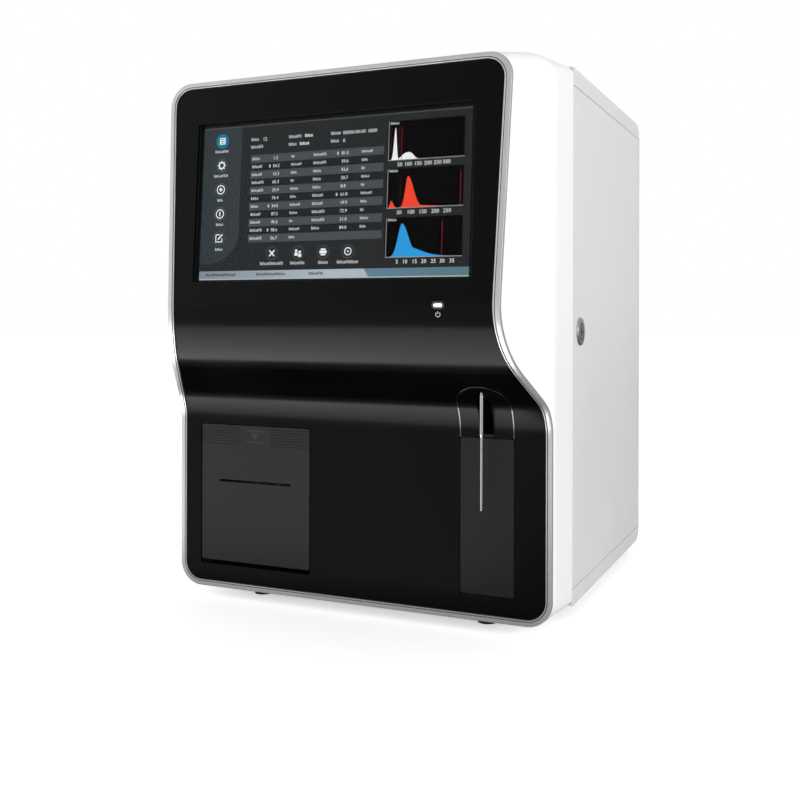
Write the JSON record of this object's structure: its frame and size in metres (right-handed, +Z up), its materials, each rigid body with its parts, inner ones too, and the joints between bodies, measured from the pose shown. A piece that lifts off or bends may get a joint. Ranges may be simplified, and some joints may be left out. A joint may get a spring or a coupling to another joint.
{
  "type": "blood analyzer",
  "caption": "Bench-top blood cell analyzer with a leaning touch screen, receipt printer, hanging sampling probe with press key, and a locked side service door.",
  "frame": {"origin": "bottom centre of the bounding box, on the plane that the feet stand on", "axes": "+Z up, -Y towards the user who faces the screen, +X to the user's right"},
  "size_m": [0.32, 0.3984, 0.4265],
  "materials": {
    "white_shell": "white gloss",
    "silver_trim": "satin silver",
    "black_panel": "black satin gloss",
    "dark_cover": "dark grey, fine texture",
    "inner_plastic": "black",
    "foam": "black foam",
    "screen_glass": "dark clear",
    "display": "lit screen",
    "lamp": "glowing white",
    "body_paint": "light grey, fine texture",
    "zinc": "zinc plated sheet",
    "steel": "bright steel",
    "chrome": "polished",
    "black_motor": "black",
    "alloy": "machined",
    "rubber": "black",
    "clear_ware": "clear",
    "acrylic": "clear grey",
    "white_plastic": "white",
    "blue_plastic": "blue",
    "tube": "translucent",
    "board": "green",
    "port_steel": "stainless",
    "rocker_plastic": "black"
  },
  "bodies": {
    "chassis": {"front_shell": "white_shell", "trim_frame": "silver_trim", "front_panel": "black_panel", "screen_gasket": "foam", "touch_glass": "screen_glass", "lcd_module": "display", "display_bracket": "zinc", "power_lens": "lamp", "probe_bay_insert": "black_panel", "arch_trim": "chrome", "key_guide": "inner_plastic", "key_switch": "inner_plastic", "printer_bay": "inner_plastic", "printer_hinge_pin": "steel", "thermal_head": "alloy", "printer_latch": "dark_cover", "lift_bracket": "zinc", "guide_rods": "steel", "probe_wipe": "white_plastic", "lift_motor": "black_motor", "bulkhead": "zinc", "bottom_pan": "body_paint", "top_cover": "body_paint", "rear_panel": "body_paint", "left_panel": "body_paint", "hinge_blocks": "steel", "feet": "rubber", "works_plate": "zinc", "white_cell_bath": "acrylic", "red_cell_bath": "acrylic", "syringe_frame": "alloy", "syringe_barrels": "clear_ware", "syringe_motor": "black_motor", "valve_bank": "white_plastic", "pump_body": "white_plastic", "vacuum_chamber": "acrylic", "fluid_tubes": "tube", "main_board": "board", "power_supply": "zinc", "fan_frame": "inner_plastic", "fan_guard": "steel", "hose_ports": "port_steel", "power_inlet": "inner_plastic", "usb_ports": "zinc", "panel_screws": "steel"},
    "printer_cover": {"printer_door": "dark_cover"},
    "platen": {"platen_roller": "rubber"},
    "key": {"aspirate_key": "dark_cover"},
    "probe": {"probe_needle": "steel", "probe_carriage": "alloy"},
    "lift_screw": {"lead_screw": "steel"},
    "side_door": {"service_door": "body_paint", "lock_housing": "chrome"},
    "lock": {"lock_barrel": "chrome", "lock_cam": "steel"},
    "plungers": {"syringe_plungers": "white_plastic"},
    "drive_screw": {"syringe_screw": "steel"},
    "pump": {"pump_rotor": "blue_plastic"},
    "fan": {"fan_rotor": "inner_plastic"},
    "rocker": {"power_rocker": "rocker_plastic"}
  },
  "joints": [
    {"name": "printer_cover_hinge", "type": "hinge", "parent": "chassis", "child": "printer_cover", "pos_m": [-0.0888, -0.14333, 0.037], "axis": [1, 0, 0], "range_deg": [0, 80]},
    {"name": "platen_spin", "type": "hinge", "parent": "printer_cover", "child": "platen", "pos_m": [-0.0888, -0.13633, 0.089], "axis": [1, 0, 0], "continuous": true},
    {"name": "aspirate_key_press", "type": "slide", "parent": "chassis", "child": "key", "axis": [0, 1, 0], "range_m": [0, 0.0025], "stiffness_N_per_m": 600, "springref_m": -0.001},
    {"name": "probe_lift", "type": "slide", "parent": "chassis", "child": "probe", "axis": [0, 0, 1], "range_m": [0, 0.078]},
    {"name": "lift_screw_spin", "type": "hinge", "parent": "chassis", "child": "lift_screw", "pos_m": [0.11, -0.14183, 0.19], "axis": [0, 0, 1], "range_deg": [0, 2345]},
    {"name": "service_door_hinge", "type": "hinge", "parent": "chassis", "child": "side_door", "pos_m": [0.1535, 0.16967, 0.21], "axis": [0, 0, 1], "range_deg": [0, 105]},
    {"name": "door_lock_turn", "type": "hinge", "parent": "side_door", "child": "lock", "pos_m": [0.1575, -0.06182, 0.2215], "axis": [1, 0, 0], "range_deg": [0, 90]},
    {"name": "plunger_stroke", "type": "slide", "parent": "chassis", "child": "plungers", "axis": [0, 0, 1], "range_m": [0, 0.03]},
    {"name": "drive_screw_spin", "type": "hinge", "parent": "chassis", "child": "drive_screw", "pos_m": [0.082, -0.02782, 0.07], "axis": [0, 0, 1], "range_deg": [0, 1085]},
    {"name": "pump_spin", "type": "hinge", "parent": "chassis", "child": "pump", "pos_m": [0.062, 0.10218, 0.094], "axis": [1, 0, 0], "continuous": true},
    {"name": "fan_spin", "type": "hinge", "parent": "chassis", "child": "fan", "pos_m": [-0.088, 0.17417, 0.34], "axis": [0, 1, 0], "continuous": true},
    {"name": "power_switch_rock", "type": "hinge", "parent": "chassis", "child": "rocker", "pos_m": [-0.098, 0.18018, 0.062], "axis": [1, 0, 0], "range_deg": [-14, 0]}
  ],
  "couplings": [
    {"joint": "lift_screw_spin", "follows": "probe_lift", "rad_per_m": 523.6},
    {"joint": "drive_screw_spin", "follows": "plunger_stroke", "rad_per_m": 628.32}
  ]
}
